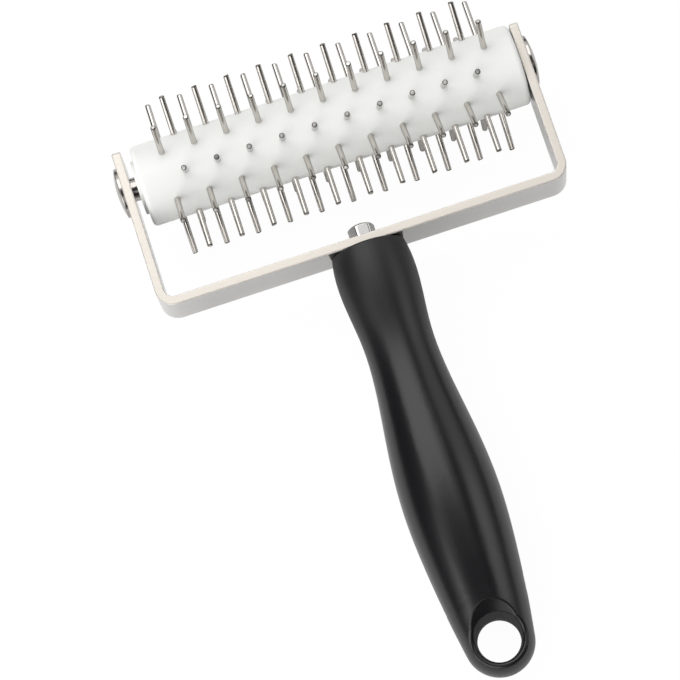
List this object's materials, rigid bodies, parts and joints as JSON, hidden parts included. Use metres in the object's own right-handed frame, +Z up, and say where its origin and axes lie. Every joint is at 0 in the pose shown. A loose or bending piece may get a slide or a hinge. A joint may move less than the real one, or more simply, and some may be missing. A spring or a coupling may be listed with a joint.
{
  "type": "dough docker",
  "caption": "Hand-held dough docker: a plastic roller set with rows of steel pins turns on an axle in a bent steel strip, held by a round moulded handle with a hanging hole.",
  "frame": {"origin": "on the surface the tool rests on, under the middle of its box", "axes": "+X along the roller's axle, +Y from the handle towards the roller, +Z up from the surface the tool rests on"},
  "size_m": [0.1438, 0.2172, 0.0519],
  "materials": {
    "strip_steel": "bright rolled",
    "handle_plastic": "matt",
    "plain_steel": "plain",
    "nut_steel": "bright",
    "axle_steel": "turned",
    "screw_steel": "bright",
    "roller_plastic": "satin",
    "bush_plastic": "satin",
    "washer_plastic": "satin",
    "pin_steel": "polished"
  },
  "bodies": {
    "frame": {"yoke": "strip_steel", "handle": "handle_plastic", "handle_stud": "plain_steel", "domed_nut": "nut_steel", "axle": "axle_steel", "axle_screw_left": "screw_steel", "axle_screw_right": "screw_steel"},
    "roller": {"roller_body": "roller_plastic", "pin_row_01": "pin_steel", "pin_row_02": "pin_steel", "pin_row_03": "pin_steel", "pin_row_04": "pin_steel", "pin_row_05": "pin_steel", "pin_row_06": "pin_steel", "pin_row_07": "pin_steel", "pin_row_08": "pin_steel", "pin_row_09": "pin_steel", "pin_row_10": "pin_steel", "bush_left": "bush_plastic", "bush_right": "bush_plastic", "end_washer": "washer_plastic"}
  },
  "joints": [
    {"name": "roller_spin", "type": "hinge", "parent": "frame", "child": "roller", "pos_m": [0, 0.08152, 0.02594], "axis": [1, 0, 0], "continuous": true}
  ]
}
